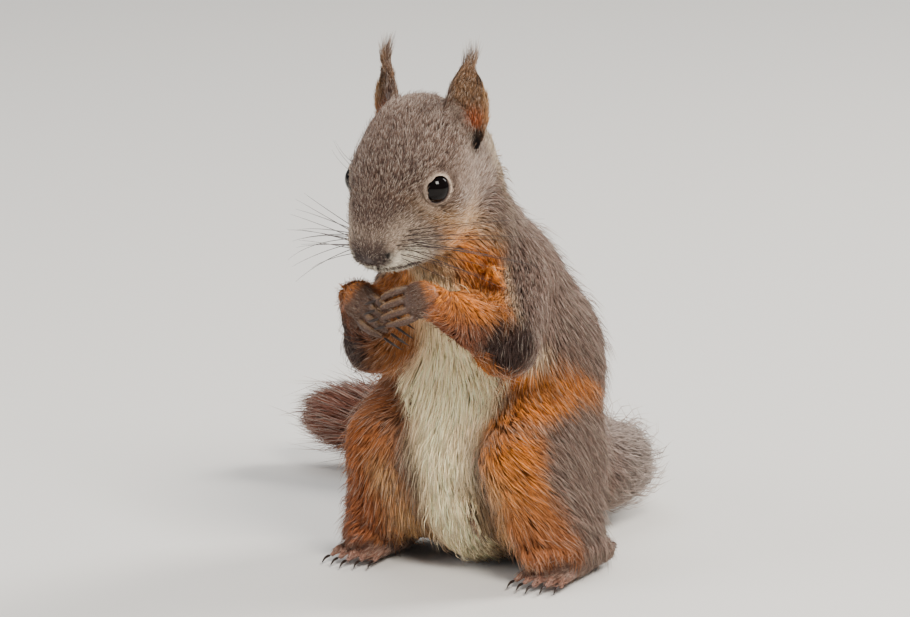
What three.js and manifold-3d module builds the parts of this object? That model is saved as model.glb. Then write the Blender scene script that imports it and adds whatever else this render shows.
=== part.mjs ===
// A Eurasian red squirrel at life size, as a still model: it sits upright on its haunches with both hands at its
// mouth, and its tail lies behind it on the floor. The solids reach out to the tips of the coat.
// Units are millimetres, +Z is up, the animal faces -Y and its left side is at +X.
// The origin is on the floor, in the middle of the flat that the rump sits on.
import * as THREE from "three";
import { mergeVertices } from "three/addons/utils/BufferGeometryUtils.js";
import Module from "manifold-3d";

const wasm = await Module();
wasm.setup();

// ---------------------------------------------------------------- driving sizes

const GAP = 0.35; // the thin cut between two neighbouring pieces
const REST_Y = 22; // from the middle of the ribs back to the middle of the rump's flat

const HEAD_PITCH = 42; // degrees that the nose points down
const HEAD_YAW = -2;
const HEAD_CENTRE = [0, -35, 143.8];
const EYE_RADIUS = 5.2;
const EYE_SPREAD = 13.7; // from the middle of the head to the middle of an eye
const EYE_PLACE = [-13.8, 0.4]; // forward and up in the head's own frame

const EAR_ROOT = [12.6, -28, 144];
const EAR_TIP = [15, -28, 172.5];
const EAR_HALF_WIDTH = 7.6;
const EAR_CUP = 5; // how far its edges curl towards the opening
const EAR_THICK = 2.6;
const EAR_TURN = 48; // degrees that the opening faces outwards
const TUFT_TIP = [17, -26, 181];

const SHOULDER = [18, -3, 98];
const PALM_HALF = [6, 6, 3.8]; // across, along and through the hand
const FINGER_LENGTH = 10.5;
const FINGER_RADII = [1.6, 1.15];
const FINGER_PITCH = 3.2; // from the middle of one finger to the next, at the knuckles
const FINGER_CURL = { left: -3.4, right: -2.4 }; // of the tips, towards the palm
// Each arm is posed by itself: the hands differ in height and turn. `across` points from the
// outer finger to the inner one.
const ARMS = {
  left: {
    elbow: [27, -24, 81.5],
    wrist: [14, -45.5, 98],
    palm: [11.3, -51, 99.5],
    fingers: [-0.74, -0.61, -0.29],
    claw: 5,
    across: [-0.36, 0, 0.88],
  },
  right: {
    elbow: [-20.5, -25, 78],
    wrist: [-16, -45, 97.5],
    palm: [-11.6, -51, 96.8],
    fingers: [0.83, -0.16, -0.54],
    claw: 8,
    across: [-0.5, -0.05, -0.8],
  },
};

const HIP = [22, 24, 35];
const KNEE = [24, -16, 43];
const HEEL = [35, 22, 8];
const FOOT_BALL = [34.5, -5, 3.8];
const TOE_LENGTH = 15;
const TOE_RADII = [2.2, 1.6];
const TOE_PITCH = 3.1;
const TOE_SPREAD = 1; // how far each toe leans out, more than the one before it
const TOE_CLAW = 5;

// ---------------------------------------------------------------- masses: solids as distance fields

const vec = (p) => new THREE.Vector3(...p);
const turned = (degrees) => new THREE.Euler(...degrees.map(THREE.MathUtils.degToRad));
const BODY = new THREE.Matrix4();
const HEAD = new THREE.Matrix4().compose(
  vec(HEAD_CENTRE),
  new THREE.Quaternion().setFromEuler(turned([HEAD_PITCH, 0, HEAD_YAW])),
  vec([1, 1, 1]),
);

// An egg of flesh and fur: its middle, half sizes and turn in a frame.
function egg(middle, half, turn = [0, 0, 0], frame = BODY) {
  const own = new THREE.Matrix4().makeRotationFromEuler(turned(turn)).setPosition(vec(middle));
  const inward = frame.clone().multiply(own).invert();
  const p = new THREE.Vector3();
  return (x, y, z) => {
    p.set(x, y, z).applyMatrix4(inward);
    const near = Math.hypot(p.x / half[0], p.y / half[1], p.z / half[2]);
    const steep = Math.hypot(p.x / half[0] ** 2, p.y / half[1] ** 2, p.z / half[2] ** 2);
    return steep > 1e-9 ? (near * (near - 1)) / steep : -Math.min(...half);
  };
}

// A limb between two joints, with a radius at each; flat under 1 squeezes it along Z.
function limb(from, fromRadius, to, toRadius, frame = BODY, flat = 1) {
  const inward = frame.clone().invert();
  const a = vec(from);
  const along = vec(to).sub(a);
  a.z /= flat;
  along.z /= flat;
  const p = new THREE.Vector3();
  return (x, y, z) => {
    p.set(x, y, z).applyMatrix4(inward);
    p.z /= flat;
    p.sub(a);
    const share = THREE.MathUtils.clamp(p.dot(along) / along.lengthSq(), 0, 1);
    const radius = THREE.MathUtils.lerp(fromRadius, toRadius, share);
    return p.addScaledVector(along, -share).length() - radius;
  };
}

// The same mass on the other side of the body or head.
const mirrored = (mass) => (x, y, z) => mass(-x, y, z);

// Joins masses, with a fillet of about that size wherever two of them meet.
function blend(masses, fillet) {
  return (x, y, z) => {
    let d = masses[0](x, y, z);
    for (let i = 1; i < masses.length; i++) {
      const e = masses[i](x, y, z);
      const h = Math.max(fillet - Math.abs(d - e), 0) / fillet;
      d = Math.min(d, e) - (h * h * fillet) / 4;
    }
    return d;
  };
}

// ---------------------------------------------------------------- the masses of this animal

const inHead = (middle, half, turn) => egg(middle, half, turn, HEAD);
const pairInHead = ([x, y, z], half, [a, b, c] = [0, 0, 0]) => [
  inHead([x, y, z], half, [a, b, c]),
  inHead([-x, y, z], half, [a, -b, -c]),
];

const headMasses = [
  inHead([0, 0, 0], [17.8, 20.5, 16.4]), // cranium
  inHead([0, -15, -1], [15, 17, 13.5]), // brow and face between the eyes
  limb([0, -14, 3], 10.5, [0, -34.5, -3], 5.2, HEAD), // bridge of the nose
  inHead([0, -32.5, -5], [7.2, 8, 6.2]), // muzzle
  ...pairInHead([10, -11, -8.5], [10.3, 15, 11.5]), // cheeks
  ...pairInHead([4.4, -31, -9], [4.8, 7.2, 6.6]), // whisker pads
  ...pairInHead([7.5, -17, -14], [8.5, 13, 10]), // jowls
  limb([0, -12, -18], 8, [0, -28, -16], 4.6, HEAD), // lower jaw
];
const neckMasses = [egg([0, -12.4, 131], [17.8, 18.6, 22]), egg([0, -20, 113], [14.5, 13, 15])];
const trunkMasses = [
  egg([0, 22, 31.5], [34, 33, 33.5]), // rump
  egg([0, 18.5, 65], [36.8, 36.5, 38], [8, 0, 0]), // belly and loins
  egg([0, 3, 38], [23, 24, 35]), // front of the belly, between the thighs
  egg([0, 7, 92], [27.5, 29.5, 28], [14, 0, 0]), // rib cage
  egg([0, -3, 110], [19, 20.5, 18.5]), // withers
];

const legMasses = [
  egg([26, 5, 35], [14, 29, 28], [-18, 0, 6]), // thigh
  limb(HIP, 14, KNEE, 12),
  egg([31.5, 2, 17], [12, 22, 15]), // shank and ankle
  limb(HEEL, 8, FOOT_BALL, 5.8), // sole
];
const armMasses = (arm) => {
  const shoulder = [SHOULDER[0] * Math.sign(arm.elbow[0]), SHOULDER[1], SHOULDER[2]];
  return [limb(shoulder, 12, arm.elbow, 10.4), limb(arm.elbow, 10.4, arm.wrist, 6.4)];
};

// The tail leaves the rump, sweeps behind the animal to its right and ends in a soft point.
const tailLine = new THREE.CatmullRomCurve3(
  [
    [2, 44, 22],
    [8, 66, 19.5],
    [5.5, 86, 18.3],
    [-16, 98, 16.5],
    [-46, 104, 16.5],
    [-80, 106, 16.5],
    [-106, 103, 17.5],
    [-126, 99, 18.5],
  ].map(vec),
);
const TAIL_STEPS = 20;
const TAIL_RADII = [12.5, 17.5, 19.6, 19.2, 18.4, 17, 13.4, 3.5]; // from the root to the tip
const TAIL_FLATNESS = 0.92; // its height against its width
const tailRadius = (t) => {
  const at = Math.min(t * (TAIL_RADII.length - 1), TAIL_RADII.length - 1.001);
  const k = Math.floor(at);
  return THREE.MathUtils.lerp(TAIL_RADII[k], TAIL_RADII[k + 1], at - k);
};
const tailMasses = Array.from({ length: TAIL_STEPS }, (_, i) => {
  const [s, t] = [i / TAIL_STEPS, (i + 1) / TAIL_STEPS];
  const [from, to] = [s, t].map((u) => tailLine.getPoint(u).toArray());
  return limb(from, tailRadius(s), to, tailRadius(t), BODY, TAIL_FLATNESS);
});

const legs = blend(legMasses, 7);
const head = blend(headMasses, 8);
const core = blend([...trunkMasses, ...neckMasses, head], 9);
const arms = Object.values(ARMS).map((arm) => blend(armMasses(arm), 5));
const torso = blend([core, legs, mirrored(legs), blend(tailMasses, 3)], 5);
const ARM_FILLET = 2.5; // small, so that the arms stay clear of the jaw
const whole = blend([torso, ...arms], ARM_FILLET);
const headless = blend([blend([...trunkMasses, ...neckMasses], 9), ...arms], ARM_FILLET);

// ---------------------------------------------------------------- from shapes to solids

// A closed three.js geometry as a solid, placed by a matrix.
function solidOf(geometry, matrix = BODY) {
  const bare = geometry.clone().deleteAttribute("normal").deleteAttribute("uv").applyMatrix4(matrix);
  const merged = mergeVertices(bare, 1e-4);
  const triVerts = new Uint32Array(merged.index.array);
  if (matrix.determinant() < 0) {
    for (let i = 0; i < triVerts.length; i += 3) {
      [triVerts[i + 1], triVerts[i + 2]] = [triVerts[i + 2], triVerts[i + 1]];
    }
  }
  return new wasm.Manifold(
    new wasm.Mesh({ numProp: 3, vertProperties: merged.attributes.position.array, triVerts }),
  );
}

function geometryOf(solid) {
  const { numProp, vertProperties, triVerts } = solid.getMesh();
  const position = new Float32Array((vertProperties.length / numProp) * 3);
  for (let i = 0; i < position.length / 3; i++) {
    position.set(vertProperties.subarray(i * numProp, i * numProp + 3), i * 3);
  }
  return new THREE.BufferGeometry()
    .setAttribute("position", new THREE.BufferAttribute(position, 3))
    .setIndex(new THREE.BufferAttribute(triVerts, 1));
}

const CELL = { foot: 5.8, leg: 9.2, arm: 6.2, trunk: 10, neck: 7.2, tail: 9.4, head: 4.7 };
const CLOSED_RIM = 1.2; // cells at the edge of a box that stay empty, so that its surface closes

// Fills the grid points where a surface would touch itself only at a corner or an edge.
function fillPinches(values, count, index, steps, cornerOffsets) {
  const FILLED = -0.02;
  for (let changed = true; changed; ) {
    changed = false;
    const fill = (points) => {
      for (const p of points) if (values[p] >= 0) values[p] = FILLED;
      changed = true;
    };
    for (let k = 0; k < count[2] - 1; k++) {
      for (let j = 0; j < count[1] - 1; j++) {
        for (let i = 0; i < count[0] - 1; i++) {
          const at = index(i, j, k);
          for (let a = 0; a < 3; a++) {
            const [u, v] = [steps[(a + 1) % 3], steps[(a + 2) % 3]];
            const face = [at, at + u, at + u + v, at + v];
            const signs = face.map((p) => values[p] < 0);
            if (signs[0] === signs[2] && signs[1] === signs[3] && signs[0] !== signs[1]) fill(face);
          }
          const cell = cornerOffsets.map((offset) => at + offset);
          const outside = cell.filter((p) => values[p] >= 0);
          const opposite = (two) => two.length === 2 && two[0] + two[1] === cell[0] + cell[7];
          const inside = cell.filter((p) => values[p] < 0);
          if (opposite(outside) || opposite(inside)) fill(outside);
        }
      }
    }
  }
}

// The surface of a field inside a box: one corner in each grid cell that the surface crosses, drawn
// onto the surface, and one quad round each grid edge that pierces it.
function surfaceOf(field, low, high, cell) {
  const count = high.map((h, a) => Math.ceil((h - low[a]) / cell) + 1);
  const inBox = (x, y, z) =>
    Math.max(
      field(x, y, z),
      ...[x, y, z].map((q, a) => Math.max(low[a] - q, q - high[a]) + CLOSED_RIM * cell),
    );
  const index = (i, j, k) => (k * count[1] + j) * count[0] + i;
  const values = new Float64Array(count[0] * count[1] * count[2]);
  for (let k = 0; k < count[2]; k++) {
    for (let j = 0; j < count[1]; j++) {
      for (let i = 0; i < count[0]; i++) {
        values[index(i, j, k)] = inBox(low[0] + i * cell, low[1] + j * cell, low[2] + k * cell);
      }
    }
  }
  const steps = [1, count[0], count[0] * count[1]];
  const cornerOffsets = [0, 1, 2, 3, 4, 5, 6, 7].map((c) =>
    steps.reduce((sum, step, a) => sum + ((c >> a) & 1) * step, 0),
  );
  fillPinches(values, count, index, steps, cornerOffsets);
  const corners = [];
  const cornerOf = new Int32Array(values.length).fill(-1);
  const slope = (x, y, z) => {
    const e = 0.05;
    return [
      inBox(x + e, y, z) - inBox(x - e, y, z),
      inBox(x, y + e, z) - inBox(x, y - e, z),
      inBox(x, y, z + e) - inBox(x, y, z - e),
    ].map((d) => d / (2 * e));
  };
  for (let k = 0; k < count[2] - 1; k++) {
    for (let j = 0; j < count[1] - 1; j++) {
      for (let i = 0; i < count[0] - 1; i++) {
        const at = index(i, j, k);
        const inside = cornerOffsets.map((offset) => values[at + offset] < 0);
        if (inside.every((s) => s === inside[0])) continue;
        const sum = [0, 0, 0];
        let crossings = 0;
        for (let c = 0; c < 8; c++) {
          for (let a = 0; a < 3; a++) {
            const d = c | (1 << a);
            if (d === c || inside[c] === inside[d]) continue;
            const [from, to] = [values[at + cornerOffsets[c]], values[at + cornerOffsets[d]]];
            for (let b = 0; b < 3; b++) sum[b] += (c >> b) & 1;
            sum[a] += from / (from - to);
            crossings++;
          }
        }
        const start = [i, j, k].map((g, a) => low[a] + g * cell);
        const p = start.map((s, a) => s + (sum[a] / crossings) * cell);
        for (let round = 0; round < 3; round++) {
          const g = slope(...p);
          const pull = inBox(...p) / Math.max(Math.hypot(...g) ** 2, 0.2);
          for (let a = 0; a < 3; a++) {
            const reach = [start[a] + 0.06 * cell, start[a] + 0.94 * cell];
            p[a] = THREE.MathUtils.clamp(p[a] - pull * g[a], ...reach);
          }
        }
        cornerOf[at] = corners.length / 3;
        corners.push(...p);
      }
    }
  }
  const faces = [];
  for (let k = 1; k < count[2] - 1; k++) {
    for (let j = 1; j < count[1] - 1; j++) {
      for (let i = 1; i < count[0] - 1; i++) {
        const at = index(i, j, k);
        for (let a = 0; a < 3; a++) {
          if (values[at] < 0 === values[at + steps[a]] < 0) continue;
          const [u, v] = [steps[(a + 1) % 3], steps[(a + 2) % 3]];
          const ring = [at - u - v, at - v, at, at - u].map((c) => cornerOf[c]);
          if (values[at] >= 0) ring.reverse();
          const far = (m, n) =>
            Math.hypot(...[0, 1, 2].map((b) => corners[3 * ring[m] + b] - corners[3 * ring[n] + b]));
          const [p, q, r, s] = far(0, 2) < far(1, 3) ? ring : [...ring.slice(1), ring[0]];
          faces.push(p, q, r, p, r, s);
        }
      }
    }
  }
  return new wasm.Manifold(
    new wasm.Mesh({
      numProp: 3,
      vertProperties: new Float32Array(corners),
      triVerts: new Uint32Array(faces),
    }),
  );
}

// Rings of points joined into a closed skin, with a fan at each end.
function loft(rings) {
  const sides = rings[0].length;
  const points = rings.flat();
  const faces = [];
  for (let r = 0; r < rings.length - 1; r++) {
    for (let s = 0; s < sides; s++) {
      const [a, b] = [r * sides + s, r * sides + ((s + 1) % sides)];
      faces.push(a, b, b + sides, a, b + sides, a + sides);
    }
  }
  for (const first of [true, false]) {
    const ring = first ? rings[0] : rings.at(-1);
    const start = first ? 0 : (rings.length - 1) * sides;
    const middle = new THREE.Vector3();
    for (const p of ring) middle.addScaledVector(p, 1 / sides);
    const hub = points.push(middle) - 1;
    for (let s = 0; s < sides; s++) {
      const [a, b] = [start + s, start + ((s + 1) % sides)];
      faces.push(...(first ? [b, a, hub] : [a, b, hub]));
    }
  }
  return new THREE.BufferGeometry().setFromPoints(points).setIndex(faces);
}

// A rod along a bend, with a radius at each end: a finger, a toe, a claw or a pencil of hair.
function taper(from, bend, to, radii, sides = 6, steps = 3) {
  const line = new THREE.QuadraticBezierCurve3(vec(from), vec(bend), vec(to));
  const { normals, binormals } = line.computeFrenetFrames(steps);
  const ringAt = (i) => {
    const rounding = i === 0 || i === steps ? 0.7 : 1;
    const radius = THREE.MathUtils.lerp(...radii, i / steps) * rounding;
    return Array.from({ length: sides }, (_, s) => {
      const angle = (s / sides) * 2 * Math.PI;
      return line
        .getPoint(i / steps)
        .addScaledVector(normals[i], radius * Math.cos(angle))
        .addScaledVector(binormals[i], radius * Math.sin(angle));
    });
  };
  return solidOf(loft(Array.from({ length: steps + 1 }, (_, i) => ringAt(i))));
}

// An egg as a solid with few faces; spare makes it larger all round.
function ball(middle, half, turn = [0, 0, 0], spare = 0, faces = [14, 10]) {
  const place = new THREE.Matrix4().compose(
    vec(middle),
    new THREE.Quaternion().setFromEuler(turned(turn)),
    vec(half.map((h) => h + spare)),
  );
  return solidOf(new THREE.SphereGeometry(1, ...faces), place);
}

// A sleeve round a limb, from one joint to the next and a little past both.
function sleeve(from, fromRadius, to, toRadius, past, spare = 0) {
  const along = vec(to).sub(vec(from));
  const length = along.length() + 2 * (past + spare);
  const rod = new THREE.CylinderGeometry(toRadius + spare, fromRadius + spare, length, 10);
  const turn = new THREE.Quaternion().setFromUnitVectors(vec([0, 1, 0]), along.clone().normalize());
  const middle = vec(from).addScaledVector(along, 0.5);
  return solidOf(rod, new THREE.Matrix4().compose(middle, turn, vec([1, 1, 1])));
}

// Everything on the far side of a plane through a point.
function past(point, normal, spare = 0) {
  const size = 320;
  const n = vec(normal).normalize();
  const place = new THREE.Matrix4().compose(
    vec(point).addScaledVector(n, size / 2 + spare),
    new THREE.Quaternion().setFromUnitVectors(vec([0, 0, 1]), n),
    vec([1, 1, 1]),
  );
  return solidOf(new THREE.BoxGeometry(size, size, size), place);
}

const flip = new THREE.Matrix4().makeScale(-1, 1, 1);
const onSide = (side, solid) => (side === "left" ? solid : solidOf(geometryOf(solid), flip));
const less = (solid, ...cutters) => cutters.reduce((rest, cutter) => rest.subtract(cutter), solid);
const biggest = (solid) => solid.decompose().sort((a, b) => b.volume() - a.volume())[0];

const group = new THREE.Group();
const FINISHES = {
  coat: { color: 0x7a5238, roughness: 0.9 },
  tail: { color: 0x5e4236, roughness: 0.9 },
  hand: { color: 0x4a342a, roughness: 0.8 },
  eye: { color: 0x0b0806, roughness: 0.1 },
  claw: { color: 0x1d1613, roughness: 0.4 },
};
function add(name, solid, finish) {
  const material = new THREE.MeshStandardMaterial({ ...FINISHES[finish], metalness: 0 });
  const mesh = new THREE.Mesh(geometryOf(biggest(solid)).translate(0, -REST_Y, 0), material);
  mesh.name = name;
  group.add(mesh);
}

// ---------------------------------------------------------------- where the body is parted

const aboveFloor = past([0, 0, 0], [0, 0, 1]);
const SIDES = ["left", "right"];
const NAPE = [[0, -17, 130.5], [0, -0.75, 0.66]]; // the head is past this plane
const NECK_ROOT = [[0, -6, 110], [0, -0.4, 0.9]]; // and the neck past this one
const EYES = SIDES.map((side) =>
  vec([side === "left" ? EYE_SPREAD : -EYE_SPREAD, ...EYE_PLACE]).applyMatrix4(HEAD).toArray(),
);
const eyeball = (i, spare) => ball(EYES[i], [1, 1, 1].map(() => EYE_RADIUS), [90, 0, 0], spare, [10, 7]);
const thighCut = (side, spare) =>
  onSide(side, ball([30, 0, 33], [22, 41, 38], [-16, 0, 4], spare, [12, 8]));
const soleCut = (side, spare) => onSide(side, ball([36, 6, 2], [13, 37, 10], [-4, 0, 0], spare, [12, 6]));
const upperArmCut = (side, spare) => {
  const { elbow } = ARMS[side];
  const x = Math.sign(elbow[0]);
  return sleeve([x * 20, -1, 101], 13.5, elbow, 12.5, 11, spare);
};
const forearmCut = (side, spare) => sleeve(ARMS[side].elbow, 12, ARMS[side].wrist, 9, 5, spare);
const rootCut = (spare) => ball([4, 66, 21], [22, 19, 21], [0, 0, 0], spare, [12, 6]);
const behind = (spare) => past([0, 62, 0], [0, 1, 0], -spare);
const tailAt = (t, spare) =>
  past(tailLine.getPoint(t).toArray(), tailLine.getTangent(t).toArray(), spare);

// ---------------------------------------------------------------- hands, feet and claws

const palms = {};
for (const side of SIDES) {
  const arm = ARMS[side];
  const along = vec(arm.fingers).normalize();
  const out = vec(arm.across).cross(along).normalize(); // through the back of the hand
  const across = along.clone().cross(out);
  const basis = new THREE.Matrix4().makeBasis(across, along, out);
  const palmAt = (spare) =>
    solidOf(
      new THREE.SphereGeometry(1, 10, 6),
      basis
        .clone()
        .setPosition(vec(arm.palm))
        .scale(vec(PALM_HALF.map((h) => h + spare))),
    );
  palms[side] = palmAt;
  const inHand = (x, y, z) =>
    vec(arm.palm).addScaledVector(across, x).addScaledVector(along, y).addScaledVector(out, z).toArray();
  let hand = palmAt(0);
  for (let f = 0; f < 4; f++) {
    const x = (f - 1.5) * FINGER_PITCH;
    const reach = PALM_HALF[1] - 2 + FINGER_LENGTH - Math.abs(f - 1.6) * 1.2;
    const curl = FINGER_CURL[side];
    const tip = inHand(x * 0.9, reach, curl);
    hand = hand.add(taper(inHand(x, 3, 0), inHand(x * 1.08, reach * 0.62, 1.6), tip, FINGER_RADII, 5));
    const [start, end] = [reach + 0.6, reach + arm.claw - 1];
    const claw = taper(
      inHand(x * 0.9, start, curl - 0.3),
      inHand(x * 0.88, start + 3, curl - 0.8),
      inHand(x * 0.86, end, curl - 3.2),
      [0.95, 0.3],
      4,
      2,
    );
    add(`finger_claw_${side}_${f + 1}`, claw, "claw");
  }
  add(`hand_${side}`, hand, "hand");
}

for (const side of SIDES) {
  const x = side === "left" ? [20, 50] : [-50, -20];
  const skin = surfaceOf(whole, [x[0], -26, -12], [x[1], 46, 22], CELL.foot);
  let foot = skin.intersect(soleCut(side, 0));
  for (let t = -2; t <= 2; t++) {
    const reach = FOOT_BALL[1] - TOE_LENGTH + Math.abs(t) * 1.7;
    const x0 = FOOT_BALL[0] + t * TOE_PITCH;
    const x1 = x0 + t * TOE_SPREAD;
    const toe = taper([x0, FOOT_BALL[1] + 3, 3.2], [x0 + t * 0.6, reach + 6, 5.4], [x1, reach, 2], TOE_RADII, 5);
    foot = foot.add(onSide(side, toe));
    const claw = taper(
      [x1, reach - 0.6, 2.5],
      [x1 + t * 0.1, reach - 3.4, 3.3],
      [x1 + t * 0.2, reach - TOE_CLAW, 0.9],
      [1, 0.3],
      4,
      2,
    );
    add(`toe_claw_${side}_${t + 3}`, onSide(side, claw), "claw");
  }
  add(`foot_${side}`, foot.intersect(aboveFloor), "hand");
}

// ---------------------------------------------------------------- limbs, trunk and neck

for (const side of SIDES) {
  const x = side === "left" ? [-4, 56] : [-56, 4];
  const haunch = surfaceOf(whole, [x[0], -50, -15], [x[1], 62, 88], CELL.leg).intersect(aboveFloor);
  add(`leg_${side}`, less(haunch.intersect(thighCut(side, 0)), soleCut(side, GAP), upperArmCut(side, GAP)), "coat");
  const limbs = surfaceOf(headless, [x[0], -68, 54], [x[1], 32, 134], CELL.arm);
  add(`upper_arm_${side}`, limbs.intersect(upperArmCut(side, 0)), "coat");
  const fore = limbs.intersect(forearmCut(side, 0));
  add(`forearm_${side}`, less(fore, upperArmCut(side, GAP), palms[side](GAP)), "coat");
}

const limbCuts = SIDES.flatMap((side) => [
  thighCut(side, GAP),
  upperArmCut(side, GAP),
  forearmCut(side, GAP),
  soleCut(side, GAP),
]);
const middle = surfaceOf(whole, [-58, -60, -15], [58, 84, 144], CELL.trunk).intersect(aboveFloor);
add("trunk", less(middle, past(...NECK_ROOT, -GAP), rootCut(GAP), behind(GAP), ...limbCuts), "coat");

const nape = surfaceOf(whole, [-38, -50, 88], [38, 26, 164], CELL.neck);
add("neck", less(nape.intersect(past(...NECK_ROOT)), past(...NAPE, -GAP), ...limbCuts), "coat");

const brush = surfaceOf(whole, [-148, 38, -16], [40, 140, 54], CELL.tail).intersect(aboveFloor);
const tail = brush.intersect(rootCut(0).add(behind(0)));
add("tail_base", less(tail, tailAt(0.34, -GAP)), "tail");
add("tail_middle", less(tail.intersect(tailAt(0.34, 0)), tailAt(0.66, -GAP)), "tail");
add("tail_end", tail.intersect(tailAt(0.66, 0)), "tail");

// ---------------------------------------------------------------- head, ears and eyes

// The ear is a pointed cup: each section is a crescent, open towards the front and the side.
const EAR_SHAPE = [
  // height along the ear, width, cup, thickness
  [0, 0.72, 1.1, 1.3],
  [0.3, 1, 1.05, 1.1],
  [0.55, 0.98, 0.85, 0.95],
  [0.78, 0.72, 0.55, 0.8],
  [1, 0.2, 0.2, 0.6],
];
function earShape() {
  const up = vec(EAR_TIP).sub(vec(EAR_ROOT));
  const a = THREE.MathUtils.degToRad(EAR_TURN);
  const opening = vec([Math.sin(a), -Math.cos(a), 0]);
  const across = up.clone().cross(opening).normalize();
  const rings = EAR_SHAPE.map(([t, wide, cup, thick]) => {
    const at = vec(EAR_ROOT).addScaledVector(up, t);
    const point = (s, depth) =>
      at
        .clone()
        .addScaledVector(across, (EAR_HALF_WIDTH * wide) * s)
        .addScaledVector(opening, depth);
    const bow = (s) => EAR_CUP * cup * (s * s - 0.5);
    const half = (s) => (EAR_THICK * thick * Math.sqrt(1.12 - s * s)) / 2;
    const stops = [-1, -0.6, 0, 0.6, 1];
    const back = stops.map((s) => point(s, bow(s) - half(s))).reverse();
    const front = stops.map((s) => point(s, bow(s) + half(s)));
    return [...front, ...back];
  });
  return solidOf(loft(rings));
}
const tuft = taper(
  vec(EAR_ROOT).lerp(vec(EAR_TIP), 0.82).toArray(),
  vec(EAR_TIP).lerp(vec(TUFT_TIP), 0.3).toArray(),
  TUFT_TIP,
  [2.6, 0.5],
);
const FACE_BOX = [[-31, -80, 92], [31, 15, 172], CELL.head];
const face = surfaceOf(whole, ...FACE_BOX);
const faceGrown = surfaceOf((x, y, z) => whole(x, y, z) - GAP, ...FACE_BOX);
let skull = face.intersect(past(...NAPE));
skull = less(skull, ...limbCuts, eyeball(0, GAP), eyeball(1, GAP));
for (const side of SIDES) {
  const ear = less(earShape().add(tuft), faceGrown);
  add(`ear_${side}`, onSide(side, ear), "coat");
}
add("head", skull, "coat");
SIDES.forEach((side, i) => add(`eye_${side}`, eyeball(i, 0), "eye"));

export default group;
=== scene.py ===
# A Eurasian red squirrel, life size and still, sitting upright with its hands at its mouth.
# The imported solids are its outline; this script grows the skin, the eyes, the claws and the coat inside it.
import math

import bmesh
import bpy
import numpy as np
from mathutils import Matrix, Vector
from mathutils.bvhtree import BVHTree
from mathutils.kdtree import KDTree


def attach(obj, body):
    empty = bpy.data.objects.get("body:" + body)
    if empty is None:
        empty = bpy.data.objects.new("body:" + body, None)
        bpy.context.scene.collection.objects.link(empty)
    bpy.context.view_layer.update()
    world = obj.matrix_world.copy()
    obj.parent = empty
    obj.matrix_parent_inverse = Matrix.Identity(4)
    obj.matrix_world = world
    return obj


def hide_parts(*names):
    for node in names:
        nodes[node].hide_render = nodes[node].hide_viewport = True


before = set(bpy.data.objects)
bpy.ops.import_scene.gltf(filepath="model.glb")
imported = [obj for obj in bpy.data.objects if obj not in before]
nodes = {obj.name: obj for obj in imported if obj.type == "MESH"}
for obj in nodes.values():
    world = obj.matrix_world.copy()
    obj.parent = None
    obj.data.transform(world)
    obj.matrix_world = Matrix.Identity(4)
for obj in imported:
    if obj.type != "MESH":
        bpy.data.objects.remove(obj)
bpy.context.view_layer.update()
MM = 0.001


# ---------------------------------------------------------------- camera
# The camera stands about two metres off, to the animal's left of its nose and a little above it, with a
# long lens, so the body fills the height of the frame.

VIEW_AZIMUTH = 29.0
VIEW_ELEVATION = 14.0
VIEW_DISTANCE = 2000 * MM
FRAME_WIDTH = 300.3 * MM  # what the frame's width spans at the animal
SENSOR = 36.0
AIM = (-15.6 * MM, 80.65 * MM)  # the frame's middle, to the right of and above the origin

bpy.ops.object.select_all(action="DESELECT")
azimuth, elevation = math.radians(VIEW_AZIMUTH), math.radians(VIEW_ELEVATION)
towards_camera = Vector(
    (
        math.sin(azimuth) * math.cos(elevation),
        -math.cos(azimuth) * math.cos(elevation),
        math.sin(elevation),
    )
)
right = Vector((math.cos(azimuth), math.sin(azimuth), 0))
aim = right * AIM[0] + towards_camera.cross(right) * AIM[1]
bpy.ops.object.camera_add(location=towards_camera * VIEW_DISTANCE)
camera = bpy.context.object
camera.rotation_euler = (aim - camera.location).to_track_quat("-Z", "Y").to_euler()
camera.data.lens = SENSOR * VIEW_DISTANCE / FRAME_WIDTH
camera.data.sensor_width = SENSOR
camera.data.clip_end = 20
bpy.context.scene.camera = camera


# ---------------------------------------------------------------- materials
# Every finish is built from nodes: fur and skin wear the animal's markings with some painted shade and
# highlight, the rest is plain horn, glossy eye, stiff hair and studio paper. A value is a socket that does
# arithmetic.


class Value:
    """A socket whose products become Math nodes."""

    def __init__(self, finish, socket):
        self.finish = finish
        self.socket = socket

    def __mul__(self, other):
        return self.finish.node("ShaderNodeMath", {"operation": "MULTIPLY"}, [self, other])

    __rmul__ = __mul__


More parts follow.
